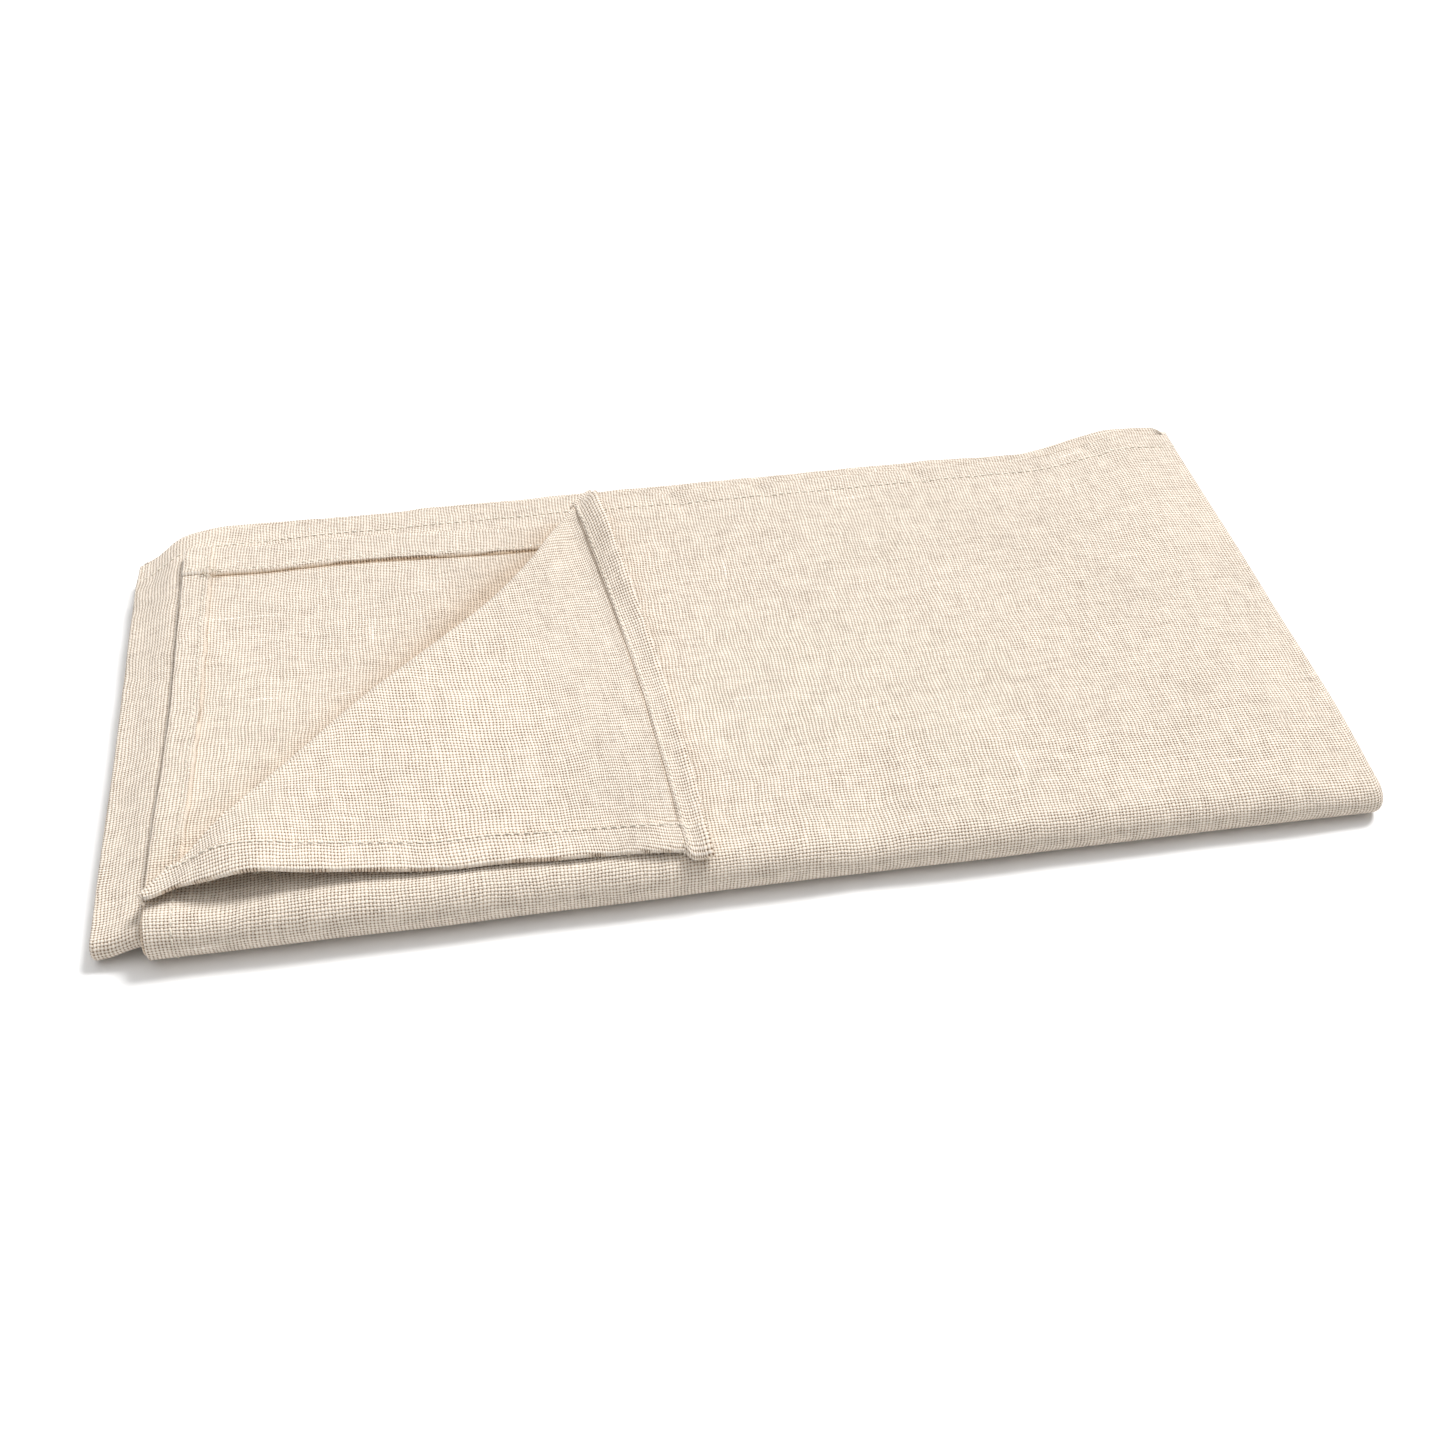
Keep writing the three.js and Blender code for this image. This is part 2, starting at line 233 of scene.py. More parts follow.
def pulled_in(s, w):
    """The half-length folds' back corners are pulled in towards the front. The pull grows with the
    square of the distance from where it starts, up to the hem."""
    middle = (RUN[3] + RUN[4]) / 2
    near = np.exp(-(((s - middle) / (15 * MM)) ** 2))
    pull_start, pull_length = 110 * MM, 75 * MM
    return -13 * MM * near * np.clip((np.abs(w) - pull_start) / pull_length, 0, 1) ** 2


# The crease in the flat cloth: from the end edge at CREASE_W to the long edge at CREASE_S.
CREASE_S = CREASE_BACK[0] - OUTER_END_X
CREASE_W = HALF_WIDTH - (OUTER_BACK_Y - CREASE_FRONT[1])


def crease_s(t):
    """s of the crease: a straight line, bowed in beside the half of it that is nearer the back."""
    bow = 11 * np.exp(-(((t - 0.7) / 0.2) ** 2)) + 2.5 * np.exp(-(((t - 0.3) / 0.2) ** 2))
    return t * CREASE_S + MM * bow * smooth((1 - t) / 0.1) * smooth(t / 0.1)


def sunk_beside_crease(s, w):
    """Between the hems, the top ply lies close on the second one along the crease."""
    share = (w - CREASE_W) / (HALF_WIDTH - CREASE_W)
    beside = (s - crease_s(share)) / (22 * MM)
    on_ply = smooth((0.86 - share) / 0.08) * smooth((share - 0.03) / 0.08) * (s < RUN[1])
    return 1.1 * MM * np.exp(-(beside**2)) * on_ply


def end_shift(s, w):
    """The second ply's end slants: its back is further right."""
    return 3 * MM * np.exp(-(((LENGTH - s) / (45 * MM)) ** 2)) * smooth((w + 20 * MM) / (150 * MM))


def edge_wander(s, w):
    """The hemmed edges wander a little in their own plane, each ply by itself."""
    near_edge = smooth((np.abs(w) - HALF_WIDTH + 45 * MM) / (40 * MM))
    along = 0.9 * waves(s, 0 * s, 21, 0.07) + 0.35 * waves(s, 0 * s, 22, 0.018)
    tilt = -4 * np.exp(-(((crosswise(s)[0] + 45 * MM) / (60 * MM)) ** 2)) * (s > RUN[6]) * (w > 0)
    return MM * near_edge * (along + tilt)


def puckers(s, w):
    """Short slanting creases across the long hems, where the seam gathers the cloth."""
    from_edge = HALF_WIDTH - np.abs(w)
    across = np.exp(-((from_edge / (11 * MM)) ** 2))
    ripple = 0.32 * waves(s + 0.5 * from_edge, 0 * s, 23, 0.011)
    places = np.array([172, 204, 262, 330]) * MM
    folds = sum(np.exp(-(((s - place - 0.5 * from_edge) / (2.6 * MM)) ** 2)) for place in places)
    return MM * across * (ripple - 1.1 * folds) * (w > 0)


def cloth(s, w):
    """Points of the folded cloth, in metres. The last axis holds x, y and z."""
    s, w = np.broadcast_arrays(s, w)
    x, height = crosswise(s)
    y, z = lengthwise(height, w - skew(s))
    y = y + pulled_in(s, w) + edge_wander(s, w)
    x, y, z = loosen(x + end_shift(s, w), y, z)
    return np.stack([x, y, z + puckers(s, w) - sunk_beside_crease(s, w)], axis=-1)


# %% [markdown]
# The turned corner is a triangle of the top ply. Its crease runs from B on the front of the end
# hem to A on the back hem, and it lies upside down on the top ply with its tip at C. `t` goes from
# 0 at B to 1 at A, and `v` from 0 on the end hem to 1 at the crease.

# %% Turned corner
def crease_radius(t):
    """The bend is a soft roll, pressed flatter at both ends."""
    return MM * (2.7 - 1.0 * np.exp(-((t / 0.1) ** 2)) - 1.2 * smooth((t - 0.74) / 0.26))


def crease_cloth(t):
    """s and w of the crease."""
    return crease_s(t), CREASE_W + t * (HALF_WIDTH - CREASE_W)


def crease_point(t):
    s, w = crease_cloth(t)
    return cloth(s, w)


crease_plan = (CREASE_BACK - CREASE_FRONT)[:2]
crease_plan = crease_plan / np.linalg.norm(crease_plan)
crease_out = np.array([-crease_plan[1], crease_plan[0], 0])


def crease_bend(t, angle):
    """Points round the bend, from the top ply at angle 0 to the turned corner at pi."""
    t, angle = np.broadcast_arrays(t, angle)
    radius = crease_radius(t)[..., None]
    up = np.array([0, 0, 1])
    side = np.sin(angle)[..., None] * crease_out * 0.9
    return crease_point(t) + radius * (side + (1 - np.cos(angle))[..., None] * up)


def corner(t, v):
    """Points of the turned corner: the flat triangle, laid on the packet from the end of the bend.
    Its height falls from the bend's by the distance from the crease, as exp(-distance^1.4)."""
    t, v = np.broadcast_arrays(t, v)
    a, b = CREASE_BACK[:2], CREASE_FRONT[:2]
    start = crease_bend(t, np.full(t.shape, math.pi))
    u = 1 - v
    plan = start[..., :2] + (u * t)[..., None] * (TIP - a)
    x = plan[..., 0] + 3.0 * MM * np.sin(math.pi * u) * t**3
    from_end = v * crease_s(t)
    away = np.clip(u, 0, None) * t * abs(np.cross(a - b, TIP - b)) / np.linalg.norm(a - b)
    y = plan[..., 1] + end_setback(t, from_end) * smooth(away / (9 * MM))
    gap = CLOTH + 0.4 * MM
    rise = start[..., 2] - crease_point(t)[..., 2] - gap
    z = packet_top(x, y) + gap + rise * np.exp(-((away / (24 * MM)) ** 1.4))
    z = z + open_mouth(t, from_end) + standing_hem(t, u) + flap_swells(x, y, away)
    return np.stack([x, y, z], axis=-1)


def open_mouth(t, from_end):
    """The end hem arches up beside the crease's front end, so the fold gapes there."""
    along = t * np.linalg.norm(TIP - CREASE_FRONT[:2])
    arch = np.exp(-(((along - 26 * MM) / (23 * MM)) ** 2)) * smooth(along / (27 * MM))
    return 4.6 * MM * arch * np.exp(-((from_end / (24 * MM)) ** 2))


def standing_hem(t, u):
    """Close to the crease the long hem stands on its edge. All along, its edge is a low ridge, and
    the seam gathers it into short ripples."""
    from_edge = (1 - t) * (HALF_WIDTH - CREASE_W)
    from_crease = u * t * CREASE_S
    along = smooth(from_crease / (9 * MM)) * np.exp(-((from_crease / (48 * MM)) ** 2))
    dip = 0.8 * MM * np.exp(-(((from_edge - 22 * MM) / (10 * MM)) ** 2))
    ridge = 1.1 * np.exp(-((from_edge / (2.4 * MM)) ** 2))
    gathered = np.exp(-((from_edge / (11 * MM)) ** 2))
    ripple = 0.4 * waves(from_crease + 0.4 * from_edge, 0 * u, 41, 0.012) * gathered
    edge = MM * (ridge + ripple) * smooth(from_crease / (9 * MM))
    return edge + along * (6.2 * MM * np.exp(-((from_edge / (8.5 * MM)) ** 2)) - dip)


def end_setback(t, from_end):
    """The end hem lies further back than the long hem's end, which sticks out past it."""
    from_tip = (1 - t) * (HALF_WIDTH - CREASE_W)
    back = 2.4 + 2.4 * smooth((from_tip - 7 * MM) / (4 * MM)) - 0.8 * smooth((from_tip - 60 * MM) / (80 * MM))
    return MM * back * np.exp(-((from_end / (26 * MM)) ** 2))


def flap_swells(x, y, away):
    """Low swells that lift the corner off the packet, more of them away from the crease."""
    swell = 0.5 * (1 + waves(x, y, 12, 0.05)) + 0.25 * waves(x, y, 13, 0.02)
    return MM * swell * np.clip(away / (30 * MM), 0, 1)


def packet_top(x, y):
    """Height of the top ply's middle at a place in plan."""
    s = np.clip(x, OUTER_END_X, RIGHT_X) - OUTER_END_X
    reach = np.clip(y - FRONT_Y, -OUTER, None)
    past_front = np.arcsin(np.clip(-reach / OUTER, 0, 1))
    w = np.where(reach > 0, reach + OUTER * math.pi / 2, OUTER * (math.pi / 2 - past_front))
    return cloth(s, w + OUTER_SKEW)[..., 2]


# %% [markdown]
# ## From a rule to a mesh
#
# A piece is a closed sheet: the grid moved out by half the cloth's thickness on its right side,
# the same grid moved the other way on its wrong side, and four strips that join their borders.
# The hems are part of the sheet. There the wrong side stands out further, up to a lip at the
# hem's inner edge.

# %% Mesh helpers


def normals(rule, a, b):
    """Unit normals on the right side of a rule's surface, from small steps each way."""
    e = 0.02 * MM
    along = rule(a + e, b) - rule(a - e, b)
    across = rule(a, b + e) - rule(a, b - e)
    n = np.cross(along, across)
    return n / np.linalg.norm(n, axis=-1, keepdims=True)


def hem_profile(distance, width, rise, slope):
    """Height of a hem above the cloth, from the distance to the cloth's edge: rounded at the edge,
    and highest at the lip on its inner side, where it ends steeply."""
    round_edge = 0.55 + 0.45 * np.sqrt(np.clip(distance / (1.2 * MM), 0, 1))
    lip = 0.3 * np.exp(-(((distance - width + 0.8 * MM) / (1.1 * MM)) ** 2))
    inside = np.clip((width - distance) / slope, 0, 1)
    return rise * (round_edge + lip) * inside


def hem_rise(s, w):
    """The hems that lie open on top are loose, so they stand thicker than the pressed ones."""
    on_top = (w > 0) & ((s > RUN[6] - MM) | (s < RUN[1] + MM))
    return np.where(on_top, 1.0 * MM, HEM_RISE * 1.2)


def hem_distances(s, w):
    """Distances to the long edge and to the end edge, and the width of the hem at each."""
    return HALF_WIDTH - np.abs(w), np.minimum(s, LENGTH - s), long_hem(s), END_HEM


def wrong_side(s, w):
    """Distance from the cloth's middle to its wrong side."""
    to_long, to_end, long_width, end_width = hem_distances(s, w)
    rise = hem_rise(s, w)
    first_ply = s < RUN[1] + MM
    long_rise, slope = np.where(first_ply, 0.55, 1) * rise, np.where(first_ply, 0.9, 0.3) * MM
    hem = hem_profile(np.clip(to_long, 0, None), long_width, long_rise, slope)
    return CLOTH / 2 + hem + hem_profile(np.clip(to_end, 0, None), end_width, rise, slope)


def painted_shade(s, w):
    """Painted shade, for how little light reaches the cloth: 1 in the narrow gap along a hem's lip, and 0 in
    the open.
    """
    to_long, to_end, long_width, end_width = hem_distances(s, w)
    first = np.exp(-(((to_long - long_width - 0.15 * MM) / (0.4 * MM)) ** 2)) * (to_end > end_width)
    second = np.exp(-(((to_end - end_width - 0.15 * MM) / (0.4 * MM)) ** 2)) * (to_long > long_width)
    lip_shade = np.maximum(first, 0.25 * second) * np.where(s < RUN[1] + MM, 0.35, 1)
    return np.maximum(lip_shade, painted_crease_shade(s, w))


def painted_crease_shade(s, w):
    """On the second ply, a weaker painted shade that fades with the distance from the crease."""
    x, height = crosswise(s)
    y, _ = lengthwise(height, w - skew(s))
    aside = (x - CREASE_FRONT[0]) * crease_out[0] + (y - CREASE_FRONT[1]) * crease_out[1]
    return 0.42 * np.exp(-np.clip(aside - 3 * MM, 0, None) / (6 * MM)) * (s > RUN[6]) * (w > 0)


def grid_faces(rows, cols, offset, flip):
    """Corner numbers of a grid's faces."""
    i = np.arange(rows - 1)[:, None] * cols + np.arange(cols - 1)[None, :]
    quads = np.stack([i, i + 1, i + cols + 1, i + cols], axis=-1).reshape(-1, 4) + offset
    return quads[:, ::-1] if flip else quads


def border(rows, cols):
    """Grid numbers round the border, in the same turn as a face."""
    grid = np.arange(rows * cols).reshape(rows, cols)
    return np.concatenate([grid[0, :-1], grid[:-1, -1], grid[-1, :0:-1], grid[:0:-1, 0]])


def new_object(name, vertices, faces, uvs, material):
    mesh = bpy.data.meshes.new(name)
    mesh.from_pydata(vertices.tolist(), [], faces.tolist())
    layer = mesh.uv_layers.new(name="cloth")
    loops = np.empty(len(mesh.loops), dtype=np.int32)
    mesh.loops.foreach_get("vertex_index", loops)
    layer.data.foreach_set("uv", uvs[loops].astype(np.float32).ravel())
    mesh.shade_smooth()
    mesh.materials.append(material)
    piece = bpy.data.objects.new(name, mesh)
    bpy.context.scene.collection.objects.link(piece)
    return piece


def sheet_piece(name, middle, normal, uv, right, wrong, gap, material):
    """A closed sheet from grids of middle points, normals, texture coordinates and thickness. gap
    is a mask of painted shade on the wrong side, which the material reads."""
    rows, cols = middle.shape[:2]
    count = rows * cols
    top = (middle + normal * right[..., None]).reshape(-1, 3)
    bottom = (middle - normal * wrong[..., None]).reshape(-1, 3)
    ring = border(rows, cols)
    after = np.roll(ring, -1)
    sides = np.stack([ring, ring + count, after + count, after], axis=-1)
    faces = np.concatenate([grid_faces(rows, cols, 0, False), grid_faces(rows, cols, count, True), sides])
    both_uv = np.concatenate([uv.reshape(-1, 2)] * 2)
    piece = new_object(name, np.concatenate([top, bottom]), faces, both_uv, material)
    mark_rim_sharp(piece.data, ring, count)
    shade_masks = piece.data.attributes.new("gap", "FLOAT", "POINT")
    shade_masks.data.foreach_set("value", np.concatenate([np.zeros(count), gap.ravel()]).astype(np.float32))
    return piece


def mark_rim_sharp(mesh, ring, count):
    """Shades the right and wrong sides apart from the rim between them."""
    on_rim = np.zeros(2 * count, dtype=bool)
    on_rim[ring] = True
    on_rim[ring + count] = True
    ends = np.empty(2 * len(mesh.edges), dtype=np.int32)
    mesh.edges.foreach_get("vertices", ends)
    ends = ends.reshape(-1, 2)
    same_side = (ends[:, 0] < count) == (ends[:, 1] < count)
    sharp = on_rim[ends].all(axis=1) & same_side
    attribute = mesh.attributes.get("sharp_edge") or mesh.attributes.new("sharp_edge", "BOOLEAN", "EDGE")
    attribute.data.foreach_set("value", sharp)


def spaced(start, end, step):
    """Evenly spaced values with both ends, at most a step apart."""
    return np.linspace(start, end, max(2, int(math.ceil(abs(end - start) / step)) + 1))


def join_values(*stretches):
    return np.unique(np.round(np.concatenate(stretches), 8))


def hem_lines(edge, inwards, width):
    """Grid lines that follow a hem's rounded edge and its steep lip."""
    shares = [0, 0.012, 0.04, 0.1, 0.2, 0.35, 0.5, 0.65, 0.8, 0.87, 0.92, 0.95, 0.972, 1.0, 1.03, 1.08]
    return edge + inwards * width * np.array(shares)


# %% [markdown]
# ## Weave
#
# The cloth is a plain weave of about ten threads to the centimetre each way. A node group works
# out how high each thread lies: it goes over one crossing thread and under the next. Between
# four threads there is a small hole.

# %% Weave
WARP_PITCH, WEFT_PITCH = 1.03 * MM, 0.94 * MM
LEAST_WIDTH, WIDTH_SPREAD = 0.46, 0.62  # a thread's width varies between these, as shares of the pitch
SLUB_ABOVE, SLUB_GAIN = 0.80, 2.2  # where a slow noise is above this value, the thread is thick
CRIMP, ROUNDNESS, HOLE_DEPTH = 0.36, 0.64, 1.4
BEND_OF_THREADS = 2.2  # how far the threads wander, in pitches


class NodeMaths:
    """Adds maths nodes to a tree, so that a formula reads from left to right."""

    def __init__(self, tree):
        self.tree = tree

    def put(self, kind, **settings):
        node = self.tree.nodes.new(kind)
        for name, value in settings.items():
            setattr(node, name, value)
        return node

    def maths(self, operation, *inputs):
        node = self.put("ShaderNodeMath", operation=operation)
        for socket, value in zip(node.inputs, inputs):
            self.feed(socket, value)
        return node.outputs[0]

    def feed(self, socket, value):
        if isinstance(value, bpy.types.NodeSocket):
            self.tree.links.new(value, socket)
        else:
            socket.default_value = value

    def noise(self, vector, scale, detail=2.0):
        node = self.put("ShaderNodeTexNoise", noise_dimensions="3D")
        self.feed(node.inputs["Vector"], vector)
        node.inputs["Scale"].default_value = scale
        node.inputs["Detail"].default_value = detail
        return node.outputs["Fac"]

    def xyz(self, x, y, z=0.0):
        node = self.put("ShaderNodeCombineXYZ")
        for socket, value in zip(node.inputs, (x, y, z)):
            self.feed(socket, value)
        return node.outputs[0]


def thread_set(m, across, along, number_sign, sign):
    """One set of parallel threads: height of the thread's face, and its own lightness. The height
    is a circle's arc across the thread, plus a cosine along it. Here and there a thread is thick."""
    number = m.maths("ROUND", across)
    aside = m.maths("SUBTRACT", across, number)
    wander = m.noise(m.xyz(number, m.maths("MULTIPLY", along, 0.07), number_sign), 1.7, 1.0)
    slow_place = m.xyz(m.maths("MULTIPLY", number, 0.9), m.maths("MULTIPLY", along, 0.016), number_sign)
    slow = m.noise(slow_place, 2.3, 0.0)
    slub = m.maths("MULTIPLY", m.maths("MAXIMUM", m.maths("SUBTRACT", slow, SLUB_ABOVE), 0.0), SLUB_GAIN)
    width = m.maths("ADD", m.maths("MULTIPLY_ADD", wander, WIDTH_SPREAD, LEAST_WIDTH), slub)
    share = m.maths("DIVIDE", m.maths("MULTIPLY", aside, 2.0), width)
    inner = m.maths("MAXIMUM", m.maths("SUBTRACT", 1.0, m.maths("MULTIPLY", share, share)), 0.0)
    round_part = m.maths("SQRT", inner)
    parity = m.maths("COSINE", m.maths("MULTIPLY", number, math.pi))
    swing = m.maths("COSINE", m.maths("MULTIPLY", along, math.pi))
    over = m.maths("MULTIPLY", m.maths("MULTIPLY", parity, swing), sign)
    height = m.maths("MULTIPLY_ADD", over, CRIMP, m.maths("MULTIPLY_ADD", round_part, ROUNDNESS, slub))
    inside = m.maths("GREATER_THAN", round_part, 0.02)
    height = m.maths("MULTIPLY_ADD", m.maths("SUBTRACT", inside, 1.0), HOLE_DEPTH, height)
    return height, m.maths("ADD", wander, slub)


def weave_group():
    group = bpy.data.node_groups.new("plain weave", "ShaderNodeTree")
    group.interface.new_socket("Cloth", in_out="INPUT", socket_type="NodeSocketVector")
    group.interface.new_socket("Height", in_out="OUTPUT", socket_type="NodeSocketFloat")
    group.interface.new_socket("Thread", in_out="OUTPUT", socket_type="NodeSocketFloat")
    m = NodeMaths(group)
    source, result = m.put("NodeGroupInput"), m.put("NodeGroupOutput")
    parts = m.put("ShaderNodeSeparateXYZ")
    group.links.new(source.outputs["Cloth"], parts.inputs[0])
    drift_u = m.noise(source.outputs["Cloth"], 60.0, 2.0)
    drift_v = m.noise(m.xyz(parts.outputs[1], parts.outputs[0], 7.0), 60.0, 2.0)
    u = m.maths("DIVIDE", parts.outputs[0], WARP_PITCH)
    v = m.maths("DIVIDE", parts.outputs[1], WEFT_PITCH)
    u = m.maths("ADD", u, m.maths("MULTIPLY", m.maths("SUBTRACT", drift_u, 0.5), BEND_OF_THREADS))
    v = m.maths("ADD", v, m.maths("MULTIPLY", m.maths("SUBTRACT", drift_v, 0.5), BEND_OF_THREADS))
    warp, warp_wander = thread_set(m, u, v, 3.0, 1.0)
    weft, weft_wander = thread_set(m, v, u, 11.0, -1.0)
    height = m.maths("MAXIMUM", warp, weft)
    on_warp = m.maths("GREATER_THAN", warp, weft)
    mix = m.put("ShaderNodeMix", data_type="FLOAT")
    m.feed(mix.inputs[0], on_warp)
    m.feed(mix.inputs[2], weft_wander)
    m.feed(mix.inputs[3], warp_wander)
    group.links.new(height, result.inputs["Height"])
    group.links.new(mix.outputs[0], result.inputs["Thread"])
    return group


def ramp(tree, fac, stops):
    node = tree.nodes.new("ShaderNodeValToRGB")
    tree.links.new(fac, node.inputs[0])
    elements = node.color_ramp.elements
    while len(elements) < len(stops):
        elements.new(0.5)
    for element, (position, colour) in zip(elements, stops):
        element.position = position
        element.color = (*colour, 1)
    return node.outputs[0]


# Colour by height, with painted shade: the dark of a hole, the shaded sides of the threads, and their tops.
HEIGHT_COLOURS = [
    (0.0, (0.19, 0.107, 0.062)),
    (0.2, (0.465, 0.33, 0.22)),
    (0.5, (0.74, 0.615, 0.488)),
    (0.8, (0.86, 0.762, 0.65)),
    (1.0, (0.905, 0.835, 0.755)),
]
# Painted shade: in a gap the cloth is lit only by light from the cloth beside it, which makes it warm and
# dark.
PAINTED_SHADE_COLOUR = (0.58, 0.44, 0.30, 1)


def cloth_material(weave):
    material = bpy.data.materials.new("natural cotton")
    material.use_nodes = True
    tree = material.node_tree
    shader = tree.nodes["Principled BSDF"]
    m = NodeMaths(tree)
    place = m.put("ShaderNodeUVMap", uv_map="cloth").outputs[0]
    threads = m.put("ShaderNodeGroup", node_tree=weave)
    tree.links.new(place, threads.inputs["Cloth"])
    height, thread = threads.outputs["Height"], threads.outputs["Thread"]
    # The height ramp paints shade into the holes and the threads' sides.
    colour_and_depth_shade = ramp(tree, height, HEIGHT_COLOURS)
    patches = m.noise(place, 25.0, 3.0)
    tone = m.maths("MULTIPLY_ADD", thread, 0.22, m.maths("MULTIPLY_ADD", patches, 0.08, 0.84))
    # The gap attribute holds painted shade: it darkens the colour under the hems' lips and beside the crease.
    gap = m.put("ShaderNodeAttribute", attribute_name="gap").outputs["Fac"]
    colour = m.put("ShaderNodeMix", data_type="RGBA", blend_type="MULTIPLY")
    colour.inputs[0].default_value = 1.0
    tree.links.new(colour_and_depth_shade, colour.inputs[6])
    tree.links.new(m.xyz(tone, tone, tone), colour.inputs[7])
    shaded = m.put("ShaderNodeMix", data_type="RGBA", blend_type="MULTIPLY")
    tree.links.new(gap, shaded.inputs[0])
    tree.links.new(colour.outputs[2], shaded.inputs[6])
    shaded.inputs[7].default_value = PAINTED_SHADE_COLOUR
    tree.links.new(shaded.outputs[2], shader.inputs["Base Color"])
    fuzz = m.noise(place, 2500.0, 2.0)
    relief = m.maths("MULTIPLY_ADD", fuzz, 0.25, height)
    bumps = m.put("ShaderNodeBump")
    bumps.inputs["Strength"].default_value = 1.0
    bumps.inputs["Distance"].default_value = 0.4 * MM
    tree.links.new(relief, bumps.inputs["Height"])
    tree.links.new(bumps.outputs[0], shader.inputs["Normal"])
    shader.inputs["Roughness"].default_value = 0.95
    shader.inputs["Specular IOR Level"].default_value = 0.1
    shader.inputs["Sheen Weight"].default_value = 0.15
    return material


cotton = cloth_material(weave_group())

# %% [markdown]
# ## Pieces of the cloth
#
# The cloth is cut where the hinges of the frame are, so that each piece can follow its body: the
# lower half, the bend along the front, the upper half, the bend of the turned corner, and the
# corner itself. Neighbours share their borders exactly.

# %% Lower and upper halves
def plies_columns(fine):
    """Values of s across all the plies, closer together at bends and hems."""
    parts = [hem_lines(0.0, 1, END_HEM), hem_lines(LENGTH, -1, END_HEM)]
    for k in range(7):
        step = (0.5 * MM if k == 1 else 0.35 * MM) if k % 2 else fine
        parts.append(spaced(RUN[k], RUN[k + 1], step))
    return thin(join_values(*parts), 0.2 * MM)


def thin(values, least):
    """Drops values that lie closer than least to the one before."""
    keep = [values[0]]
    for value in values[1:-1]:
        if value - keep[-1] >= least * 0.7 and values[-1] - value >= least * 0.7:
            keep.append(value)
    keep.append(values[-1])
    return np.array(keep)


def half_rows(step):
    """Shares from 0 at the start of the front bend to 1 at the back edge, with the hem's lines."""
    depth = HALF_WIDTH - OUTER * math.pi / 2
    lines = join_values(spaced(0, depth - 1.2 * HEM, step), hem_lines(depth, -1, HEM))
    return thin(lines, 0.12 * MM) / depth


def half_grid(s, share, side):
    """w for shares of each ply's own flat depth. Its hem keeps its width."""
    _, height = crosswise(s)
    start = side * height * math.pi / 2 + skew(s)
    depth = HALF_WIDTH - side * start
    base = HALF_WIDTH - OUTER * math.pi / 2
    from_edge = (1 - share)[:, None] * base
    broad, scale = 1.15 * HEM, long_hem(s) / HEM
    beyond = (from_edge - broad) * (depth - broad * scale) / (base - broad)
    return side * (HALF_WIDTH - np.where(from_edge < broad, from_edge * scale, broad * scale + beyond))


def cloth_piece(name, s, w):
    s, w = np.broadcast_arrays(s, w)
    rising = w[-1, 0] > w[0, 0]
    if not rising:
        s, w = s[::-1], w[::-1]
    right = np.full(s.shape, CLOTH / 2)
    uv = np.stack([s, w], axis=-1)
    normal, wrong = normals(cloth, s, w), wrong_side(s, w)
    return sheet_piece(name, cloth(s, w), normal, uv, right, wrong, painted_shade(s, w), cotton)


s_lower = plies_columns(5 * MM)
lower = cloth_piece("lower_plies", s_lower, half_grid(s_lower, half_rows(5 * MM), -1))
s_upper = plies_columns(2.6 * MM)
s_upper = s_upper[s_upper >= RUN[1] - 1e-9]
upper = cloth_piece("upper_plies", s_upper, half_grid(s_upper, half_rows(2.6 * MM), 1))
print("lower", len(lower.data.polygons), "upper", len(upper.data.polygons), "faces")

# %% Top ply


def top_rows():
    """Values of w on the top ply, with rows at the crease's front end and along the hem."""
    start = OUTER * math.pi / 2 + OUTER_SKEW
    width = long_hem(0.0)
    plain = spaced(CREASE_W, HALF_WIDTH - 1.15 * width, 1.5 * MM)
    rows = join_values(spaced(start, CREASE_W, 1.5 * MM), plain, hem_lines(HALF_WIDTH, -1, width))
    return thin(rows, 0.12 * MM)


w_top = top_rows()
t_top = np.clip((w_top - CREASE_W) / (HALF_WIDTH - CREASE_W), 0, 1)
s_crease = crease_cloth(t_top)[0]
share = spaced(0, 1, 1 / 215)
s_top = s_crease[:, None] + (RUN[1] - s_crease)[:, None] * share[None, :]
top = cloth_piece("top_ply", s_top, np.broadcast_to(w_top[:, None], s_top.shape))

# %% Turned corner and its crease
t_rows = t_top[np.searchsorted(w_top, CREASE_W - 1e-9):].copy()
t_rows[0] = 0.004  # the corner's front point is cut off here, so that no face is empty
turn = spaced(0, math.pi, math.pi / 14)


def crease_uv(t, angle):
    s, w = crease_cloth(t)
    extra = crease_radius(t) * angle
    return np.stack([s + extra * crease_out[0], w + extra * crease_out[1]], axis=-1)


def crease_piece():
    t, angle = np.meshgrid(t_rows, turn[::-1], indexing="ij")
    s, w = crease_cloth(t)
    uv = crease_uv(t, angle)
    wrong = wrong_side(s, w)
    middle = crease_bend(t, angle)
    n = normals(lambda a, b: crease_bend(b, -a), -angle, t)
    right, gap = np.full(t.shape, CLOTH / 2), painted_shade(s, w)
    return sheet_piece("corner_bend", middle, n, uv, right, wrong, gap, cotton)


bend = crease_piece()


